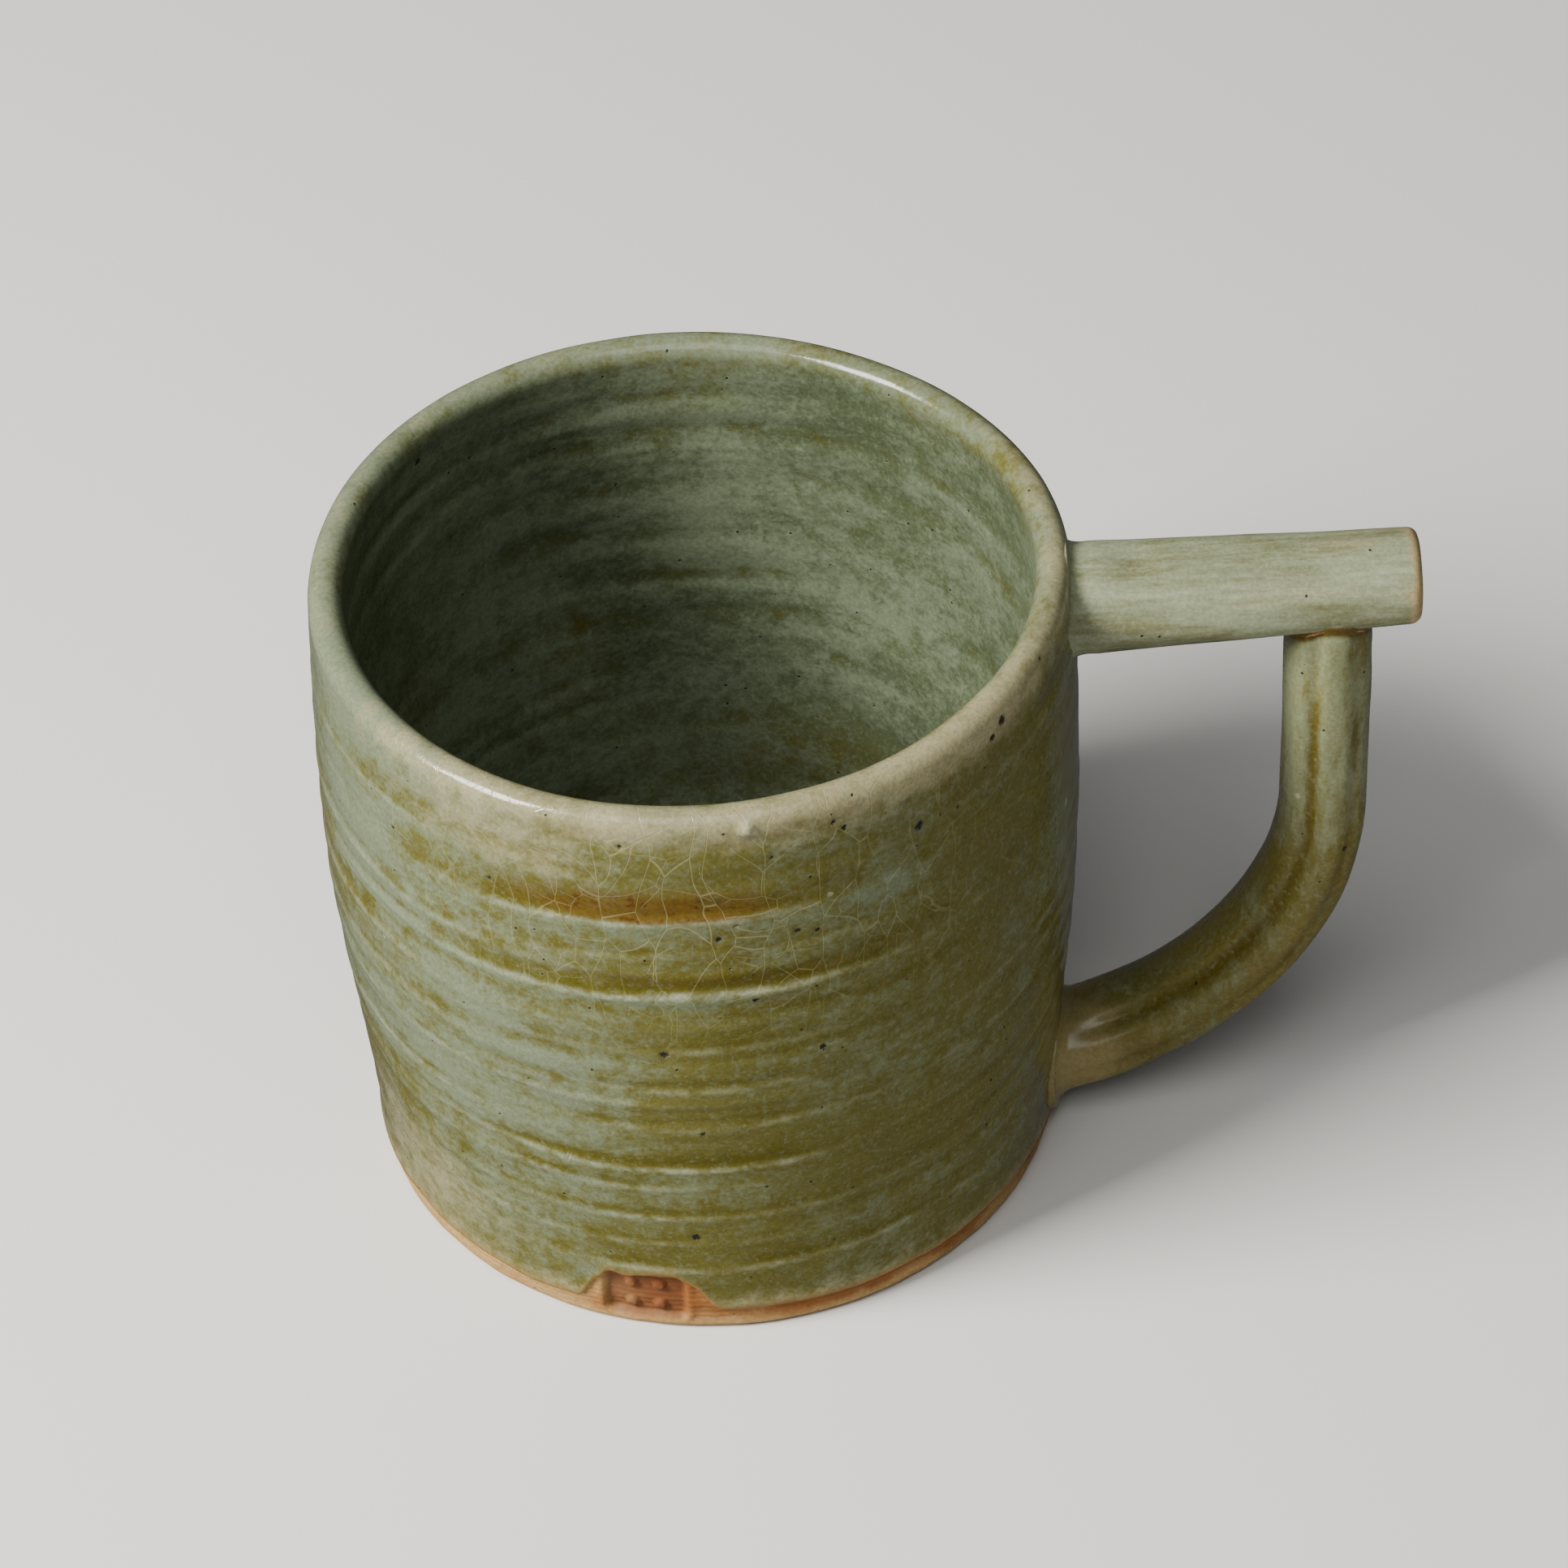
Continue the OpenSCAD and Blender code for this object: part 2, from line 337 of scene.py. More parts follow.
def rim_shift(theta, z):
    """(outward, up): how far a hand-made rim strays from a true circle."""
    part = smooth(z, 38, LIP_Z)
    out = 0.45 * toward(theta, 8, 34) - 0.50 * toward(theta, 58, 30)
    out = out + 0.45 * toward(theta, 138, 34) - 0.20 * toward(theta, -150, 30)
    out = out + 0.18 * ring_noise(theta, 9, 41)
    up = 0.22 * ring_noise(theta, 7, 42) + 0.08 * ring_noise(theta, 23, 43)
    return out * part, up * part


def wall_surface(s, theta, lift):
    """Points at (s, theta), lift above the clay, with all the relief of the throwing.

    Returns the points and the named masks that the glaze's colours follow."""
    s, theta = np.broadcast_arrays(s, theta)
    r, z, normal_r, normal_z = (np.interp(s, PATH[0], column) for column in PATH[1:])
    base = polar(r, theta, z)
    out_part = 1 - smooth(s, S_LIP - 3, S_LIP + 0.5)
    floor_part = smooth(s, S_END - 34, S_END - 24)
    in_part = smooth(s, S_CREST + 3, S_CREST + 8) * (1 - floor_part)
    out_height, out_pool, crest = outer_rings(theta, z, base)
    in_height, in_pool = inner_rings(theta, z, base)
    floor_height, floor_pool = floor_spiral(theta, r, base)
    height = out_part * out_height + in_part * in_height + floor_part * floor_height
    lumps = 0.10 * noise(base, 13, 51) + 0.05 * noise(base, 5, 52)
    pits = clamp(pit_marks(theta, z) * (s < S_CREST))
    height = height + lumps * (1 - 0.5 * bump(s, S_CREST, 3)) - PIT_DEEP * pits
    lump, pale = crumb(theta, s, base)
    height = height + lump + lift
    out, up = rim_shift(theta, z)
    points = polar(r + normal_r * height + out, theta, z + normal_z * height + up)
    pool_and_shade = out_part * out_pool + in_part * in_pool + floor_part * floor_pool
    masks = wall_masks(s, theta, z, base, pool_and_shade, out_part * crest)
    masks["pit"] = pits
    # The chip's paleness, thin glaze with a painted highlight, joins the crests.
    masks["crest"] = np.maximum(masks["crest"], pale)
    return points, masks


def wall_masks(s, theta, z, base, pool_and_shade, crest):
    """How far each finish shows: 0 to 1 for each named mask."""
    front = angle_from(theta, -90)
    rim = np.where(s < S_CREST, bump(s, S_CREST - 1.2, 4.6), bump(s, S_CREST - 0.5, 2.6))
    outside = 1 - smooth(s, S_CREST - 1, S_CREST + 2)
    shoulder = smooth(z, 71, 79) * bump(front, -28, 24) * outside
    warm = rim * (0.30 + 0.22 * layered(base, 14, 61) + 0.55 * bump(front, 24, 60))
    warm = np.maximum(warm, 0.55 * shoulder)
    warm = np.maximum(warm, 0.55 * (1 - smooth(z, 12, 34)) * bump(front, -58, 30) * outside)
    streak = 1.15 * smooth(z, 70.2, 71.4) * (1 - smooth(z, 72, 77.5)) * bump(front, -7, 19)
    streak = streak * (0.85 + 0.35 * noise(base, (3.0, 3.0, 1.5), 66))
    streak = streak + 0.3 * smooth(z, 60, 61) * (1 - smooth(z, 62, 64)) * bump(front, 5, 24)
    craze = smooth(z, 46, 66) * bump(front, 2, 48) * (1 - smooth(s, S_CREST, S_CREST + 3))
    inside = smooth(s, S_CREST, S_CREST + 6)
    milk = 0.40 + 0.10 * inside + 0.42 * layered(base, (22, 22, 13), 64) - 0.55 * pool_and_shade
    milk = milk + (0.36 * bump(front, -56, 34) * smooth(z, 8, 40)
                   - 0.20 * bump(front, 8, 26) - 0.14 * smooth(front, 15, 50)) * outside
    milk = milk + 0.40 * rim * (1 - bump(front, 22, 55))
    milk = milk + 0.22 * bump(front, -17, 9) * bump(z, 41, 9) * outside
    milk = milk + 0.20 * bump(z, 58.5, 1.6) * bump(front, 0, 40) * outside
    milk = milk + 0.18 * bump(z, 69.6, 1.2) * bump(front, 5, 35) * outside
    dull = 1 - smooth(z, 4.5, 10)
    return {
        "pool_and_shade": pool_and_shade * (1 - 0.45 * inside) * (1 - 0.7 * rim),
        "crest": clamp(crest),
        "warm": clamp(np.maximum(warm, 0.45 * dull * outside)),
        "rust": clamp(streak * outside),
        "craze": clamp(craze),
        "milk": clamp(milk),
        "green": clamp(0.85 * inside + 0.5 * rim * bump(front, -75, 60)
                       + 0.45 * noise(base, 20, 65)),
    }


# ---- Meshes ----

def face_rows(rows, columns, closed_rows):
    """Corner indices of the quads of a grid whose columns wrap, and the same unwrapped."""
    last = rows if closed_rows else rows - 1
    i, j = np.meshgrid(np.arange(last), np.arange(columns), indexing="ij")
    i, j = i.ravel(), j.ravel()
    corner_rows = np.stack([i, i, i + 1, i + 1], axis=1)
    corner_columns = np.stack([j, j + 1, j + 1, j], axis=1)
    index = (corner_rows % rows) * columns + corner_columns % columns
    return index, corner_rows / last, corner_columns / columns


def signed_volume(points, quads):
    """Positive where the quads face outward. Only its sign is used."""
    a, b, c, d = (points[quads[:, k]] for k in range(4))
    return (np.cross(b - a, c - a) * a).sum() + (np.cross(c - a, d - a) * a).sum()


def solid(name, grid, masks=None, closed_rows=False):
    """A closed mesh from a (rows, columns, 3) grid in millimetres.

    The columns wrap. The rows wrap too if closed_rows, otherwise a fan closes each end."""
    rows, columns = grid.shape[:2]
    points = grid.reshape(-1, 3) * MM
    quads, v, u = face_rows(rows, columns, closed_rows)
    flip = signed_volume(points, quads) < 0
    faces, uvs = quads.tolist(), np.stack([u, v], axis=-1).reshape(-1, 2)
    if flip:
        faces = [face[::-1] for face in faces]
        uvs = uvs.reshape(-1, 4, 2)[:, ::-1].reshape(-1, 2)
    if not closed_rows:
        points = np.vstack([points, grid[0].mean(0) * MM, grid[-1].mean(0) * MM])
        for end, first in ((0, 0), (1, (rows - 1) * columns)):
            centre = rows * columns + end
            fan = [[first + (j + 1) % columns, first + j, centre] for j in range(columns)]
            if flip != bool(end):
                fan = [face[::-1] for face in fan]
            faces += fan
            step = np.arange(columns)[:, None] / columns
            ring = np.full((columns, 1), float(end))
            uvs = np.vstack([uvs, np.hstack([step, ring]).repeat(3, axis=0)])
    mesh = bpy.data.meshes.new(name)
    mesh.from_pydata(points.tolist(), [], faces)
    mesh.uv_layers.new(name="UVMap").data.foreach_set("uv", uvs.ravel())
    for key, values in (masks or {}).items():
        values = values.ravel()
        if not closed_rows:
            values = np.append(values, [values[0], values[-1]])
        layer = mesh.attributes.new(key, "FLOAT", "POINT")
        layer.data.foreach_set("value", values.astype(np.float32))
    mesh.shade_smooth()
    mesh.set_sharp_from_angle(angle=SHARP)
    piece = bpy.data.objects.new(name, mesh)
    bpy.context.scene.collection.objects.link(piece)
    return piece


def place(piece, node, slot, material):
    """Gives a piece its finish and lets it stand for a CAD node."""
    piece.data.materials.append(material)
    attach(piece, "root")
    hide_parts(node)


# ---- Glazed wall ----

def around_stamp(theta):
    """Distance round the wall from the middle of the stamp, in millimetres."""
    return np.radians(angle_from(theta, math.degrees(STAMP_AZ))) * FOOT_R


def glaze_edge(theta):
    """Where along the profile the outer glaze starts, dipping round the stamp."""
    line = GLAZE_LINE + 0.40 * ring_noise(theta, 11, 71) + 0.20 * ring_noise(theta, 60, 72)
    side = around_stamp(theta) + 0.5 * ring_noise(theta, 120, 74)
    left = smooth(side, -8.4, -4.4)
    right = 1 - smooth(side, 3.8, 10.5)
    halo = (5.9 + 0.35 * ring_noise(theta, 150, 75)) * left * right
    return line + halo - BEVEL


def outer_skin():
    """The outer glaze, with a rolled lower edge that opens round the stamp."""
    theta = around(COLUMNS)
    edge = glaze_edge(theta)
    near = edge + np.array([0, 0.06, 0.2, 0.4, 0.66, 1])[:, None] * ROLL
    part = np.linspace(0, 1, 250)[1:, None]
    s = np.vstack([near, edge + ROLL + (S_SEAM - 0.03 - edge - ROLL) * part,
                   np.full_like(edge, S_SEAM)])
    rise = clamp((s - edge) / ROLL)
    bead = 0.16 * bump(s - edge, 1.0, 0.8)
    lift = SKIN * np.sqrt(1 - (1 - rise) ** 2) + bead
    outside, masks = wall_surface(s, theta, lift)
    masks["thin"] = 1 - smooth(s - edge, 0.1, 2.2 + 1.6 * ring_noise(theta, 9, 73) ** 2)
    back = s[::-1][::4]
    back = np.vstack([back, s[:1]]) if (len(s) - 1) % 4 else back
    under, under_masks = wall_surface(back, theta, -WALL_SINK)
    under_masks["thin"] = np.zeros_like(back)
    grid = np.vstack([outside, under])
    masks = {key: np.vstack([masks[key], under_masks[key]]) for key in masks}
    return solid("outer_glaze_skin", grid, masks, closed_rows=True)


def liner_skin():
    """The glaze inside, from the crest of the lip to the middle of the floor."""
    theta = around(COLUMNS)
    s = np.concatenate([[S_SEAM, S_SEAM + 0.03], np.linspace(S_SEAM + 0.5, S_END - 0.4, 220)])
    inside, masks = wall_surface(s[:, None], theta, SKIN)
    under, under_masks = wall_surface(s[::4, None], theta, -WALL_SINK)
    grid = np.vstack([inside[::-1], under])
    masks = {key: np.vstack([masks[key][::-1], under_masks[key]]) for key in masks}
    masks["thin"] = np.zeros(grid.shape[:2])
    return solid("liner_glaze_skin", grid, masks)


# ---- Clay body ----

def stamp_relief(theta, z):
    """How deep the stamped recess is, and its four plain round studs."""
    side, high = around_stamp(theta), z - STAMP_Z
    corner = 1.6
    qx = np.abs(side) - STAMP_HALF[0] + corner
    qz = np.abs(high) - STAMP_HALF[1] + corner
    outline = np.hypot(np.maximum(qx, 0), np.maximum(qz, 0)) + np.minimum(np.maximum(qx, qz), 0)
    outline = outline - corner
    recess = 1 - smooth(outline, -0.75, 0.15)
    rolled = 0.12 * bump(outline, 0.45, 0.45)
    stud = np.hypot(np.abs(side) - 1.75, np.abs(high) - 1.75)
    raised = 0.62 * (1 - smooth(stud, 0.45, 1.1))
    return rolled - recess * (STAMP_DEEP - raised), recess


def body_columns():
    """Directions round the body, closer together where the stamp is."""
    plain = around(420)[0]
    offset = angle_from(plain, math.degrees(STAMP_AZ))
    plain = plain[np.abs(offset) > 10]
    fine = STAMP_AZ + np.radians(np.linspace(-9.8, 9.8, 110))
    return np.sort(np.concatenate([plain, fine % TURN]))[None, :]


def underside(theta):
    """Rows from the middle of the underside to the foot's bevel."""
    r = np.linspace(0.5, FOOT_R - BEVEL - 0.4, 60)[:, None]
    flat = polar(r, theta, 0.0)
    bend = np.hypot(flat[..., 0] + 60, flat[..., 1] - 38)
    wire = 0.5 + 0.5 * np.sin(bend * TURN / 2.4 + 2.2 * noise(flat, 9, 81))
    depth = 0.16 * wire + 0.10 * (1 + noise(flat, 4, 82))
    depth = depth * smooth(FOOT_R - BEVEL - r, 0.2, 3.5)
    hollow = 0.5 * (1 - smooth(r, FOOT_R - 14, FOOT_R - 5))
    flat[..., 2] = depth + hollow
    turn = np.linspace(0, np.pi / 2, 7)[:, None]
    edge_r = FOOT_R - BEVEL + BEVEL * np.sin(turn)
    edge_z = BEVEL - BEVEL * np.cos(turn)
    chips = 0.10 * noise(polar(edge_r, theta, edge_z), 3, 83)
    edge = polar(edge_r + chips * smooth(edge_z, 0.1, 0.8), theta, edge_z)
    return np.vstack([flat, edge[:-1]])


def body_clay():
    """The thrown clay, bare at the foot, in the stamp and underneath."""
    theta = body_columns()
    s = np.concatenate([np.linspace(0, 10, 56), np.linspace(11.5, S_SEAM, 62),
                        np.linspace(S_SEAM + 2, S_END - 0.8, 60)])[:, None]
    points = wall_surface(s, theta, 0)[0]
    z = np.interp(s, PATH[0], PATH[2])
    relief, recess = stamp_relief(theta, z)
    outside = s < S_LIP
    grain = 0.05 * noise(points, 1.3, 91) + 0.03 * noise(points, 0.6, 92)
    turned = 0.04 * np.sin(TURN * z / 0.85 + 1.5 * noise(points, 8, 93))
    push = np.where(outside, relief + (grain + turned) * (z < 12), 0)
    calm = smooth(z, 1.2, 2.2)
    points[..., 0] += push * calm * np.cos(theta)
    points[..., 1] += push * calm * np.sin(theta)
    below = underside(theta)
    grid = np.vstack([below, points])
    flat = np.zeros(below.shape[:2])
    fired = {
        "recess": np.vstack([flat, np.where(outside, recess, 0)]),
        "toast": np.vstack([flat + 0.25, foot_toast(s, theta, points)]),
    }
    return solid("body_clay", grid, fired)


def foot_toast(s, theta, points):
    """How orange the bare clay has flashed: most at the front and next to the glaze."""
    front = toward(theta, -68, 46)
    return clamp(0.15 + 0.75 * front * smooth(s, -1, 2) + 0.3 * noise(points, 6, 94))


# ---- Handle ----

def trimmed(inside, low, high, steps=34):
    """For each column, the place between low and high where inside stops being true."""
    for _ in range(steps):
        middle = (low + high) / 2
        hidden = inside(middle)
        low, high = np.where(hidden, middle, low), np.where(hidden, high, middle)
    return (low + high) / 2


def bar_frame(x):
    """Middle height, half height and half width of the bar at distance x from the axis."""
    part = np.clip((x - BAR_START) / (BAR_TIP - BAR_START), -0.2, 1)
    middle = BAR_Z + (x - BAR_START) * math.tan(BAR_TILT)
    high = BAR_HIGH[0] + (BAR_HIGH[1] - BAR_HIGH[0]) * part
    wide = BAR_WIDE[0] + (BAR_WIDE[1] - BAR_WIDE[0]) * part
    return middle, high, wide


def oval(phi, half_a, half_b, power):
    """Points of a superellipse, with a power of 2 for a plain ellipse."""
    c, s = np.cos(phi), np.sin(phi)
    scale = (np.abs(c) ** power + np.abs(s) ** power) ** (-1 / power)
    return half_a * c * scale, half_b * s * scale


def bar_point(x, phi, grow):
    """A point of the bar's surface: phi is 0 on the +Y side and 90 degrees on top."""
    middle, high, wide = bar_frame(x)
    y, z = oval(phi, wide + grow, high + grow, 2.2)
    return np.stack([x + 0 * y, y, middle + z], axis=-1)


def bar_hand_marks(points, x, phi):
    """Lengthwise bands from rolling and pulling, a dent on top and slow waviness."""
    long = points * np.array([0.16, 1, 1])
    marks = 0.20 * noise(long, 3.0, 101) + 0.12 * noise(points, 9, 102)
    marks = marks + 0.05 * noise(long, 1.2, 103)
    dent = bump(x, 52, 2.6) * bump(np.degrees(phi), 95, 26)
    return marks - 0.55 * dent


def outside_wall(points):
    """Distance of points from the outside of the glazed wall, in millimetres."""
    z = points[..., 2]
    return np.hypot(points[..., 0], points[..., 1]) - clay_radius(z) - SKIN


def cove(distance, width):
    """Extra size next to a joint, where glaze and slip fill the corner."""
    part = clamp(1 - distance / width)
    return width * (1 - np.sqrt(clamp(1 - part ** 2)))


def bar_root(phi):
    """Distances from the axis at which the bar comes out of the wall."""
    return trimmed(lambda x: outside_wall(bar_point(x, phi, 0)) < 0, *BAR_ROOT_RANGE)


def bar_surface(grow, rows, sunk):
    """Grid of the bar from the wall to its tip; it closes at the tip's centre."""
    phi = around(144)
    start = bar_root(phi)
    tip = BAR_TIP + min(grow, 0)
    along = np.concatenate([[-sunk, -sunk / 2], np.linspace(0, 1.4, 9)])
    x = np.vstack([start + along[:, None],
                   start + 1.4 + (tip - TIP_ROUND - start - 1.4)
                   * np.linspace(0, 1, rows)[1:, None]])
    distance = x - start
    flare = 0.75 * cove(np.clip(distance, 0, None), 1.3) - 0.10 * bump(distance, 1.9, 0.8)
    points = bar_point(x, phi, grow)
    points = push_out(points, bar_frame(x)[0], bar_hand_marks(points, x, phi) + flare)
    turn = np.linspace(0, np.pi / 2, 8)[1:, None]
    rim_x = tip - TIP_ROUND + TIP_ROUND * np.sin(turn) + 0 * phi
    rim = bar_point(rim_x, phi, grow - TIP_ROUND * (1 - np.cos(turn)))
    rim = push_out(rim, bar_frame(rim_x)[0], bar_hand_marks(rim, rim_x, phi))
    centre = rim[-1].mean(0)
    rings = [centre + (rim[-1] - centre) * part for part in (0.93, 0.82, 0.66, 0.46, 0.24, 0.06)]
    return np.vstack([points, rim, np.array(rings)])


def push_out(points, middle_z, amount):
    """Moves points of the bar away from its axis."""
    y, z = points[..., 1], points[..., 2] - middle_z
    length = np.maximum(np.hypot(y, z), 0.1)
    points = points.copy()
    points[..., 1] += amount * y / length
    points[..., 2] += amount * z / length
    return points


def bar_masks(grid):
    """The bar's masks: warmer at its tip, with olive under it that is painted shade."""
    x, z = grid[..., 0], grid[..., 2]
    edge = bump(x, BAR_TIP - 0.5, 1.0) * smooth(np.hypot(grid[..., 1], z - bar_frame(x)[0]), 4, 5)
    joint = bump(x, BAR_START + 0.8, 0.8)
    # Painted shade: olive toward the bar's underside.
    under = smooth(bar_frame(x)[0] - z, 1, 5)
    milk = 0.62 + 0.35 * layered(grid, (16, 6, 6), 111)
    return {
        "pool_and_shade": clamp(0.2 * joint + 0.35 * under + 0.2 * noise(grid, (14, 3, 3), 112)),
        "warm": clamp(edge * 0.7 + 0.16 + 0.3 * noise(grid, (11, 2.4, 2.4), 113)),
        "rust": clamp(edge * 0.25 * (0.5 + 0.5 * noise(grid, 3, 114))),
        "milk": clamp(milk),
        "green": np.full_like(x, 0.4),
        "thin": np.zeros_like(x),
    }


def bar_skin():
    """The bar's glaze: its outside from the tip to the wall, and back along the clay."""
    outside = bar_surface(0.0, 150, 1.0)
    inside = bar_surface(-SKIN - SINK, 50, 1.0)
    grid = np.vstack([outside[::-1], inside])
    return solid("bar_glaze_skin", grid, bar_masks(grid))


def bar_core():
    """The bar's clay, which shows only if the glaze is taken away."""
    return solid("bar_core", bar_surface(-SKIN, 40, 0.3))


def arm_centre(t):
    """(x, z, direction) at length t down the arm, measured from the middle of the bar."""
    top_z = bar_frame(ARM_X)[0]
    straight = top_z - ARM_BEND_Z
    turn = np.clip((t - straight) / ARM_BEND_R, 0, None)
    x = ARM_X - ARM_BEND_R * (1 - np.cos(turn))
    z = np.where(t < straight, top_z - t, ARM_BEND_Z - ARM_BEND_R * np.sin(turn))
    return x, z, turn


def arm_lines(t, phi, lines, width):
    """How strongly a set of (angle, weight) lines along the arm shows at a place on it.
    The lines twist a little on their way down."""
    twist = 26 * smooth(t, 25, 85)
    return sum(weight * bump(angle_from(phi, angle + twist), 0, width)
               for angle, weight in lines)


ARM_GROOVES = ((-50, 0.8), (30, 0.7), (148, 0.5), (210, 1.0))
# Angles of the ridges between the grooves. They only colour the glaze: paler on them, partly glaze
# breaking thin and partly a painted highlight.
ARM_RIDGES = ((-10, 0.8), (90, 0.6), (184, 0.9), (240, 1.0))


def arm_point(t, phi, grow):
    """A point of the arm's surface: phi is 180 degrees in front and 270 on the inner side."""
    x, z, turn = arm_centre(t)
    part = clamp(t / 95)
    wide, thick = oval(phi, ARM_WIDE + grow, ARM_THICK + grow, 2.3)
    wide = wide * (0.97 + 0.12 * part)
    thick = thick * (1.04 + 0.03 * bump(t, 52, 22))
    plane_x = x + thick * np.cos(turn)
    plane_z = z - thick * np.sin(turn)
    swung = plane_x - ARM_X
    px = ARM_X + swung * math.cos(ARM_SWING) - wide * math.sin(ARM_SWING)
    py = swung * math.sin(ARM_SWING) + wide * math.cos(ARM_SWING)
    return np.stack([px + 0 * py, py, plane_z + 0 * py], axis=-1)


def inside_bar(points):
    """Whether points lie in the bar."""
    middle, high, wide = bar_frame(points[..., 0])
    reach = np.abs(points[..., 1] / wide) ** 2.2 + np.abs((points[..., 2] - middle) / high) ** 2.2
    return reach < 1


def arm_ends(phi):
    """Lengths down the arm where it comes out of the bar and where it meets the wall."""
    top = trimmed(lambda t: inside_bar(arm_point(t, phi, 0)), *ARM_TOP_RANGE)
    end = trimmed(lambda t: outside_wall(arm_point(t, phi, 0)) > 0, *ARM_FOOT_RANGE)
    return top, end


def arm_surface(grow, rows, sunk):
    """Grid of the arm from the bar's underside to the wall."""
    phi = around(128)
    top, end = arm_ends(phi)
    near = np.linspace(0, 2.6, 14)[:, None]
    part = np.linspace(0, 1, rows)[1:-1, None]
    t = np.vstack([top - sunk, top - sunk / 2, top + near,
                   top + 2.6 + (end - top - 5.2) * part, end - near[::-1],
                   end + sunk / 2, end + sunk])
    flare = 0.3 * cove(np.clip(t - top, 0, None), 0.8) - 0.15 * bump(t - top, 1.2, 0.6)
    flare = flare + 0.85 * cove(np.clip(end - t, 0, None), 1.9)
    under = smooth(np.sin(phi), 0.2, 0.9)
    flare = flare + 0.5 * under * bump(end - t, 0, 2.2)
    base = arm_point(t, phi, grow)
    lengthwise = np.stack([t + 0 * phi, 2.6 * np.cos(phi) + 0 * t, 2.6 * np.sin(phi) + 0 * t], -1)
    marks = 0.16 * noise(lengthwise, (22, 1.6, 1.6), 121) + 0.14 * noise(base, 8, 122)
    marks = marks + 0.05 * noise(lengthwise, (6, 0.8, 0.8), 123)
    fade = smooth(end - t, 1, 7) * (0.6 + 0.4 * smooth(t - top, 0, 4))
    marks = marks - (0.80 * arm_lines(t, phi, ARM_GROOVES, 12) - 0.12) * fade
    moved = arm_point(t, phi, grow + 1.0) - base
    return base + moved * (marks + flare)[..., None], t - top, end - t


def arm_masks(from_top, from_wall, grid):
    """The arm's masks: milky at its top, olive in its grooves, warm by the wall, and paler on its
    ridges, where the glaze breaks thin and a highlight is painted.
    """
    phi = around(grid.shape[1])
    groove = arm_lines(from_top + 6, phi, ARM_GROOVES, 10)
    # Ridges painted paler: glaze broken thin, and a painted highlight along them.
    ridge_break_and_sheen = arm_lines(from_top + 6, phi, ARM_RIDGES, 17)
    joint = bump(from_top, 0.4, 0.9)
    low = smooth(from_top, 10, 45)
    return {
        "pool_and_shade": clamp(groove * 0.62 * smooth(from_top, 7, 15) + joint - 0.2 * ridge_break_and_sheen),
        "warm": clamp(0.18 + 0.2 * noise(grid, 9, 131) + 0.55 * bump(from_wall, 0, 9)),
        "rust": clamp(0.75 * joint + 0.12 * noise(grid, 6, 132)),
        "milk": clamp(0.62 + 0.35 * layered(grid, 12, 133) - 0.45 * low + 0.3 * ridge_break_and_sheen),
        "green": clamp(0.25 + 0.3 * noise(grid, 14, 134)),
        "thin": np.zeros_like(from_top),
    }


def arm_skin():
    """The arm's glaze: down its outside to the wall, and back up along the clay."""
    outside, out_top, out_wall = arm_surface(0.0, 220, 1.6)
    inside, in_top, in_wall = arm_surface(-SKIN - SINK, 70, 1.6)
    grid = np.vstack([outside, inside[::-1]])
    from_top = np.vstack([out_top, in_top[::-1]])
    from_wall = np.vstack([out_wall, in_wall[::-1]])
    return solid("arm_glaze_skin", grid, arm_masks(from_top, from_wall, grid), closed_rows=True)


def arm_core():
    """The arm's clay, which shows only if the glaze is taken away."""
    return solid("arm_core", arm_surface(-SKIN, 60, 0.2)[0])


def slip_pad(name, point, start):
    """A thin lens of slip under the glaze of a joint, between two pieces of clay."""
    along = start + np.linspace(-SLIP_LONG / 2, SLIP_LONG, 5)[:, None]
    return solid(name, point(along))


def slip_pads():
    """The three seams of joining slip: bar to wall, arm to wall and arm to bar."""
    phi = around(96)
    top, end = arm_ends(phi)
    return (
        slip_pad("slip_under_bar", lambda x: bar_point(x, phi, -SLIP_INSET), bar_root(phi)),
        slip_pad("slip_under_arm_foot", lambda t: arm_point(t, phi, -SLIP_INSET), end - SLIP_LONG),
        slip_pad("slip_under_arm_top", lambda t: arm_point(t, phi, -SLIP_INSET), top),
    )


# ---- Materials ----

NOISE_RANGE = (0.3, 0.7)                    # where most of a noise node's values lie


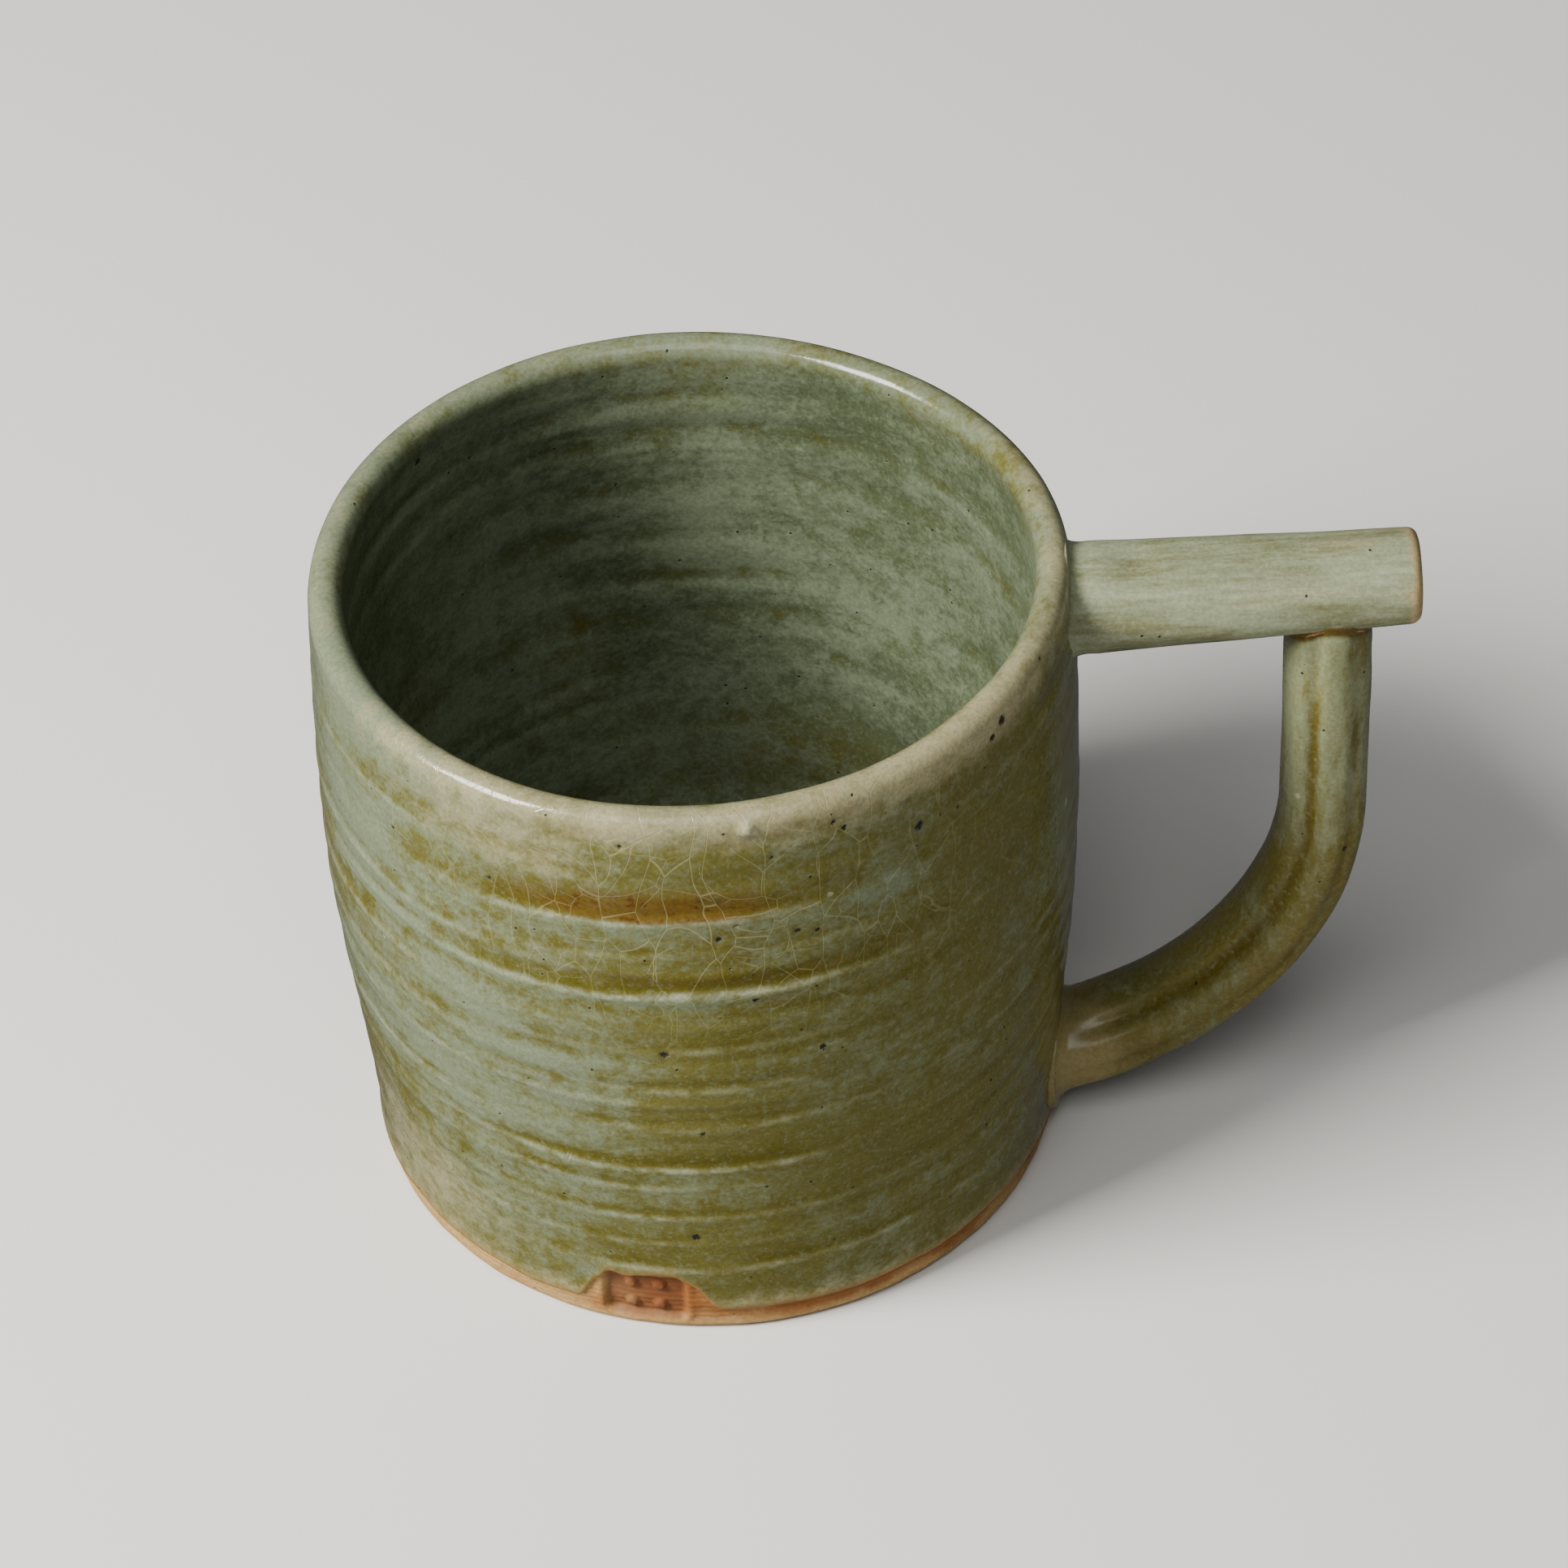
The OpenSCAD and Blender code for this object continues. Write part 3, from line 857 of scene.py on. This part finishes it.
class Finish:
    """A node material, with short names for the nodes that the glazes are made of."""

    def __init__(self, name):
        self.material = bpy.data.materials.new(name)
        self.material.use_nodes = True
        self.tree = self.material.node_tree
        self.shader = self.tree.nodes["Principled BSDF"]
        coordinates = self.tree.nodes.new("ShaderNodeTexCoord").outputs["Object"]
        self.mm = self.vector("SCALE", coordinates, scale=1 / MM)

    def node(self, kind, inputs, **settings):
        made = self.tree.nodes.new(kind)
        for key, value in settings.items():
            setattr(made, key, value)
        for key, value in inputs.items():
            self.feed(made.inputs[key], value)
        return made

    def feed(self, socket, value):
        if isinstance(value, bpy.types.NodeSocket):
            self.tree.links.new(value, socket)
        else:
            socket.default_value = value

    def vector(self, operation, first, second=(0, 0, 0), scale=1.0):
        inputs = {0: first, 1: second, 3: scale}
        return self.node("ShaderNodeVectorMath", inputs, operation=operation).outputs[0]

    def stretched(self, x, y, z):
        return self.vector("MULTIPLY", self.mm, (x, y, z))

    def mask(self, name):
        return self.node("ShaderNodeAttribute", {}, attribute_name=name).outputs["Fac"]

    def noise(self, size, detail=3.0, rough=0.55, vector=None, warp=0.0):
        inputs = {"Vector": vector or self.mm, "Scale": 1 / size, "Detail": detail,
                  "Roughness": rough, "Distortion": warp}
        return self.node("ShaderNodeTexNoise", inputs).outputs["Fac"]

    def cells(self, size, feature="F1", vector=None):
        inputs = {"Vector": vector or self.mm, "Scale": 1 / size}
        return self.node("ShaderNodeTexVoronoi", inputs, feature=feature)

    def math(self, operation, a, b):
        return self.node("ShaderNodeMath", {0: a, 1: b}, operation=operation).outputs[0]

    def plus(self, a, b):
        return self.math("ADD", a, b)

    def times(self, a, b):
        return self.math("MULTIPLY", a, b)

    def fit(self, value, low, high, to_low=0.0, to_high=1.0, soft=False):
        kind = "SMOOTHSTEP" if soft else "LINEAR"
        inputs = {"Value": value, "From Min": low, "From Max": high, "To Min": to_low,
                  "To Max": to_high}
        return self.node("ShaderNodeMapRange", inputs, interpolation_type=kind).outputs[0]

    def swing(self, value, reach):
        """Noise, spread from -reach to reach."""
        return self.fit(value, *NOISE_RANGE, -reach, reach)

    def mix(self, amount, a, b, blend="MIX"):
        made = self.node("ShaderNodeMix", {}, data_type="RGBA", blend_type=blend)
        self.feed(made.inputs[0], amount)
        self.feed(made.inputs[6], a)
        self.feed(made.inputs[7], b)
        return made.outputs[2]

    def shade(self, colour, roughness, normal):
        """Feeds the shader, and hands over the finished material."""
        for key, value in (("Base Color", colour), ("Roughness", roughness), ("Normal", normal)):
            self.feed(self.shader.inputs[key], value)
        return self.material

    def bumped(self, height, strength, distance, below=None):
        inputs = {"Height": height, "Strength": strength, "Distance": distance * MM}
        if below:
            inputs["Normal"] = below
        return self.node("ShaderNodeBump", inputs).outputs[0]


def tone(red, green, blue):
    """A colour as it looks on a screen, 0 to 255, as linear light."""
    channels = [c / 255 for c in (red, green, blue)]
    linear = [c / 12.92 if c <= 0.04045 else ((c + 0.055) / 1.055) ** 2.4 for c in channels]
    return (*linear, 1.0)


SAGE = tone(94, 90, 42)
GREEN = tone(76, 85, 62)
MILK = tone(111, 121, 98)
OLIVE = tone(82, 76, 16)
BEIGE = tone(158, 150, 116)
OCHRE = tone(96, 73, 24)
RUST = tone(74, 36, 8)
CREAM = tone(170, 174, 148)
IRON = tone(28, 20, 14)
CRACK = tone(156, 152, 112)
THIN = tone(142, 112, 62)
CLAY = tone(178, 144, 86)
TOAST = tone(138, 78, 6)
DARK_CLAY = tone(104, 48, 6)
SAND = tone(92, 62, 28)
GRAIN_TINT = (0.74, 0.73, 0.68, 1)          # what the grain's dark parts are multiplied by
GLAZE_SPECULAR = 0.36


def specks(finish, size, rarity, radius):
    """Round specks in a few of the cells of a pattern, 0 or 1."""
    cells = finish.cells(size)
    draw = finish.node("ShaderNodeSeparateColor", {0: cells.outputs["Color"]}).outputs[0]
    chosen = finish.fit(draw, rarity, rarity + 0.02)
    uneven = finish.fit(finish.noise(0.35), 0, 1, -0.05, 0.05)
    ragged = finish.plus(cells.outputs["Distance"], uneven)
    round_spot = finish.fit(ragged, radius, radius * 0.5, 0, 1, soft=True)
    return finish.times(chosen, round_spot)


def stir(finish, streak):
    """The uneven patterns, from broad clouds to fine grain, that all of the glaze shares."""
    finish.clouds = finish.noise(7.0, 4, 0.6)
    finish.drift = finish.noise(2.8, 5, 0.62, finish.stretched(*streak))
    finish.wisps = finish.noise(1.0, 3, 0.62, finish.stretched(*streak), 0.4)
    finish.grain = finish.noise(0.5, 3, 0.7)
    finish.sway = finish.swing(finish.drift, 0.25)


def melted(finish, sage, milk, olive, warm):
    """The colour of the melt: khaki under a milky veil, olive in pools and in the shade painted
    under the handle's bar, beige where thin.
    """
    veil = finish.plus(finish.mask("milk"), finish.sway)
    veil = finish.plus(veil, finish.swing(finish.wisps, 0.20))
    veil = finish.plus(veil, finish.swing(finish.clouds, 0.12))
    green = finish.plus(finish.mask("green"), finish.times(finish.sway, 0.5))
    body = finish.mix(finish.fit(green, 0.1, 0.9, soft=True), sage, GREEN)
    colour = finish.mix(finish.fit(veil, 0.14, 0.92, 0, 0.95, soft=True), body, milk)
    # Olive where glaze pools, and where shade is painted under the bar.
    pool_and_shade = finish.math("SUBTRACT", finish.mask("pool_and_shade"), finish.times(finish.sway, 0.6))
    pool_and_shade = finish.math("SUBTRACT", pool_and_shade, finish.swing(finish.clouds, 0.14))
    colour = finish.mix(finish.fit(pool_and_shade, 0.08, 0.62, 0, 0.92, soft=True), colour, olive)
    broken = finish.plus(finish.mask("warm"), finish.times(finish.sway, 0.7))
    return finish.mix(finish.fit(broken, 0.2, 0.9, 0, 0.92, soft=True), colour, warm)


def mottled(finish, colour, milk):
    """Pale crests, where the glaze breaks thin with a painted highlight, a tan lower edge, milky
    curds and haze, and a few cream blots.
    """
    # Cream on the crests: glaze broken thin, with a painted highlight.
    crest = finish.times(finish.mask("crest"), finish.fit(finish.drift, 0.4, 0.6, 0.1, 0.6))
    colour = finish.mix(crest, colour, CREAM)
    colour = finish.mix(finish.fit(finish.mask("thin"), 0.1, 1, 0, 0.85), colour, THIN)
    curds = finish.fit(finish.noise(1.9, 2, 0.6), 0.64, 0.76, 0, 0.45, soft=True)
    colour = finish.mix(curds, colour, milk)
    haze = finish.fit(finish.noise(0.75, 3, 0.7), 0.52, 0.68, 0, 0.40, soft=True)
    colour = finish.mix(haze, colour, milk)
    blots = specks(finish, 9.0, 0.70, 0.07)
    return finish.mix(finish.times(blots, 0.5), colour, CREAM)


def rusted(finish, colour):
    """The rust-brown streak under the rim, with darker spots in it."""
    rust = finish.plus(finish.mask("rust"), finish.times(finish.sway, 0.8))
    colour = finish.mix(finish.fit(rust, 0.0, 0.9, 0, 0.90, soft=True), colour, OCHRE)
    spots = finish.times(finish.fit(finish.wisps, 0.52, 0.66, soft=True), finish.mask("rust"))
    return finish.mix(finish.times(spots, 0.8), colour, RUST)


def iron_dots(finish):
    """Iron specks, 0 or 1: scattered ones, and the pits that the mask asks for."""
    dots = finish.math("MAXIMUM", specks(finish, 8.0, 0.60, 0.06), specks(finish, 2.4, 0.62, 0.085))
    pits = finish.plus(finish.mask("pit"), finish.swing(finish.grain, 0.25))
    return finish.math("MAXIMUM", dots, finish.fit(pits, 0.35, 0.75, soft=True))


def glaze_relief(finish, lines, dots):
    """The fine relief of the melt: orange peel, ripples, pits and open crackle."""
    peel = finish.bumped(finish.noise(2.2, 3, 0.5), 0.30, 0.14)
    rippled = finish.bumped(finish.noise(0.6, 2, 0.5), 0.22, 0.035, peel)
    pitted = finish.bumped(finish.times(dots, -1.0), 0.9, 0.2, rippled)
    return finish.bumped(finish.times(lines, -1.0), 0.6, 0.04, pitted)


def glaze(name, sage=SAGE, milk=MILK, olive=OLIVE, warm=BEIGE, streak=(1, 1, 1.3),
          gloss=(0.10, 0.26)):
    """Celadon glaze, with crackle and iron specks. Its patterns are stretched by streak, and
    its roughness drifts between the two values of gloss."""
    finish = Finish(name)
    stir(finish, streak)
    colour = rusted(finish, mottled(finish, melted(finish, sage, milk, olive, warm), milk))
    darker = finish.mix(1.0, colour, GRAIN_TINT, "MULTIPLY")
    colour = finish.mix(finish.fit(finish.grain, 0.35, 0.65), darker, colour)
    lines, dots = craze_lines(finish), iron_dots(finish)
    colour = finish.mix(finish.times(lines, 0.36), colour, CRACK)
    colour = finish.mix(finish.times(dots, 0.95), colour, IRON)
    finish.shader.inputs["Specular IOR Level"].default_value = GLAZE_SPECULAR
    rough = finish.fit(finish.noise(5.0, 3), *NOISE_RANGE, *gloss)
    rough = finish.plus(rough, finish.times(dots, 0.5))
    return finish.shade(colour, rough, glaze_relief(finish, lines, dots))


def craze_lines(finish):
    """Fine crackle where the mask asks for it: long upright arcs with short links between."""
    bent = finish.node("ShaderNodeTexNoise", {"Vector": finish.mm, "Scale": 0.11, "Detail": 0.0})
    sway = finish.vector("SCALE", bent.outputs["Color"], scale=3.6)
    upright = finish.vector("ADD", finish.stretched(1, 1, 0.36), sway)
    linked = finish.vector("ADD", finish.stretched(0.7, 0.7, 0.9), sway)
    arcs = finish.cells(3.9, "DISTANCE_TO_EDGE", upright).outputs["Distance"]
    links = finish.cells(4.6, "DISTANCE_TO_EDGE", linked).outputs["Distance"]
    line = finish.fit(arcs, 0.0, 0.019, 1, 0, soft=True)
    patchy = finish.fit(finish.noise(8.0, 1), 0.48, 0.56, 0, 0.8, soft=True)
    link = finish.times(finish.fit(links, 0.0, 0.015, 1, 0, soft=True), patchy)
    return finish.times(finish.math("MAXIMUM", line, link), finish.mask("craze"))


def clay(name):
    """Bare fired clay: sandy tan, flashed orange, red-brown in the stamp."""
    finish = Finish(name)
    blotch = finish.noise(5.0, 4, 0.6)
    toast = finish.plus(finish.mask("toast"), finish.swing(blotch, 0.25))
    colour = finish.mix(finish.fit(toast, 0.15, 0.9, soft=True), CLAY, TOAST)
    colour = finish.mix(finish.fit(finish.mask("recess"), 0.2, 1, 0, 0.75), colour, DARK_CLAY)
    sand = finish.noise(0.5, 3, 0.75)
    colour = finish.mix(finish.fit(sand, *NOISE_RANGE, 0, 0.5), colour, SAND)
    dots = specks(finish, 2.2, 0.75, 0.10)
    colour = finish.mix(finish.times(dots, 0.7), colour, IRON)
    rough = finish.fit(blotch, *NOISE_RANGE, 0.66, 0.84)
    return finish.shade(colour, rough, finish.bumped(finish.noise(0.7, 4, 0.7), 0.6, 0.12))


def slip(name):
    """Joining slip: clay that shows, if at all, as a matt seam."""
    finish = Finish(name)
    colour = finish.mix(finish.fit(finish.noise(1.2, 3), *NOISE_RANGE), DARK_CLAY, CLAY)
    rough = finish.fit(finish.noise(0.6), 0, 1, 0.6, 0.85)
    return finish.shade(colour, rough, finish.bumped(finish.noise(0.5, 3), 0.5, 0.1))


# ---- Stage, light and camera ----

def plain_material(name, colour, roughness):
    """A material of one colour and one roughness."""
    material = bpy.data.materials.new(name)
    material.use_nodes = True
    shader = material.node_tree.nodes["Principled BSDF"]
    shader.inputs["Base Color"].default_value = colour
    shader.inputs["Roughness"].default_value = roughness
    return material


FLOOR_HALF = 3.0                            # metres
FLOOR_TONE = tone(214, 212, 207)
WORLD_TINT = (0.93, 0.95, 1.0, 1)
WORLD_STRENGTH = 0.09

# Lights: name, azimuth, elevation, distance in metres, size in metres, watts, colour
LIGHTS = (
    ("key", -156, 42, 1.0, 0.40, 27, (1.0, 0.98, 0.95)),
    ("front", -98, 62, 1.1, 0.75, 6, (0.98, 0.99, 1.0)),
)
LIGHT_AIM = Vector((0, 0, 0.05))            # metres

CAMERA_AT = Vector((0.025007, -0.49815, 0.513728))
CAMERA_PITCH = 0.7493                       # radians below level
CAMERA_YAW = 0.0135 - math.radians(2.5)     # to the right of straight ahead
CAMERA_ROLL = -0.0534
CAMERA_LENS = 130.6
SENSOR = 36
NEAREST = 0.01                              # metres


def add_floor():
    """The pale floor. The glaze doesn't mirror it, so that its own colour shows."""
    mesh = bpy.data.meshes.new("floor")
    ring = [(x * FLOOR_HALF, y * FLOOR_HALF, 0) for x, y in ((-1, -1), (1, -1), (1, 1), (-1, 1))]
    mesh.from_pydata(ring, [], [(0, 1, 2, 3)])
    mesh.materials.append(plain_material("floor_pale", FLOOR_TONE, 0.75))
    floor = bpy.data.objects.new("floor", mesh)
    floor.visible_glossy = False
    bpy.context.scene.collection.objects.link(floor)


def add_light(name, azimuth, elevation, distance, size, power, colour):
    """A square soft light that looks at the mug from a direction."""
    data = bpy.data.lights.new(name, "AREA")
    data.shape, data.size, data.energy, data.color = "SQUARE", size, power, colour
    lamp = bpy.data.objects.new(name, data)
    flat = math.cos(math.radians(elevation))
    direction = Vector((flat * math.cos(math.radians(azimuth)),
                        flat * math.sin(math.radians(azimuth)),
                        math.sin(math.radians(elevation))))
    lamp.location = LIGHT_AIM + direction * distance
    lamp.rotation_euler = direction.to_track_quat("Z", "Y").to_euler()
    bpy.context.scene.collection.objects.link(lamp)


def add_world():
    """A faint, even light from everywhere."""
    world = bpy.data.worlds.new("studio")
    world.use_nodes = True
    background = world.node_tree.nodes["Background"]
    background.inputs["Color"].default_value = WORLD_TINT
    background.inputs["Strength"].default_value = WORLD_STRENGTH
    bpy.context.scene.world = world


def add_camera():
    """The camera: in front of the mug, looking 43 degrees down, a little rolled."""
    pitch, yaw, roll = CAMERA_PITCH, CAMERA_YAW, CAMERA_ROLL
    forward = Vector((math.sin(yaw) * math.cos(pitch), math.cos(yaw) * math.cos(pitch),
                      -math.sin(pitch)))
    level = Vector((math.cos(yaw), -math.sin(yaw), 0))
    upward = level.cross(forward)
    right = level * math.cos(roll) + upward * math.sin(roll)
    up = upward * math.cos(roll) - level * math.sin(roll)
    data = bpy.data.cameras.new("camera")
    data.sensor_width, data.lens, data.clip_start = SENSOR, CAMERA_LENS, NEAREST
    camera = bpy.data.objects.new("camera", data)
    camera.matrix_world = Matrix(((right.x, up.x, -forward.x, CAMERA_AT.x),
                                  (right.y, up.y, -forward.y, CAMERA_AT.y),
                                  (right.z, up.z, -forward.z, CAMERA_AT.z),
                                  (0, 0, 0, 1)))
    bpy.context.scene.collection.objects.link(camera)
    bpy.context.scene.camera = camera


def build():
    """Makes the ten pieces, each with its material, in place of its CAD node."""
    wall_glaze = glaze("celadon_wall")
    bar_glaze = glaze("celadon_bar", sage=tone(120, 120, 86), milk=tone(138, 146, 118),
                      warm=tone(164, 142, 100), streak=(0.22, 1.6, 1.6), gloss=(0.32, 0.46))
    arm_glaze = glaze("celadon_arm", sage=tone(110, 100, 46), milk=tone(128, 134, 102),
                      olive=tone(90, 78, 18), warm=tone(148, 134, 88), streak=(1.2, 1.2, 0.35),
                      gloss=(0.20, 0.36))
    bare, seam = clay("bare_stoneware"), slip("joining_slip")
    place(body_clay(), "thrown_body", "bare_clay", bare)
    place(outer_skin(), "outer_glaze", "outer_glaze", wall_glaze)
    place(liner_skin(), "liner_glaze", "liner_glaze", wall_glaze)
    place(bar_core(), "handle_top_bar", "bare_clay", bare)
    place(bar_skin(), "bar_glaze", "bar_glaze", bar_glaze)
    place(arm_core(), "handle_lower_arm", "bare_clay", bare)
    place(arm_skin(), "arm_glaze", "arm_glaze", arm_glaze)
    seams = ("slip_bar_to_wall", "slip_arm_to_wall", "slip_arm_to_bar")
    for piece, node in zip(slip_pads(), seams):
        place(piece, node, "slip", seam)


build()
add_floor()
for light in LIGHTS:
    add_light(*light)
add_world()
add_camera()
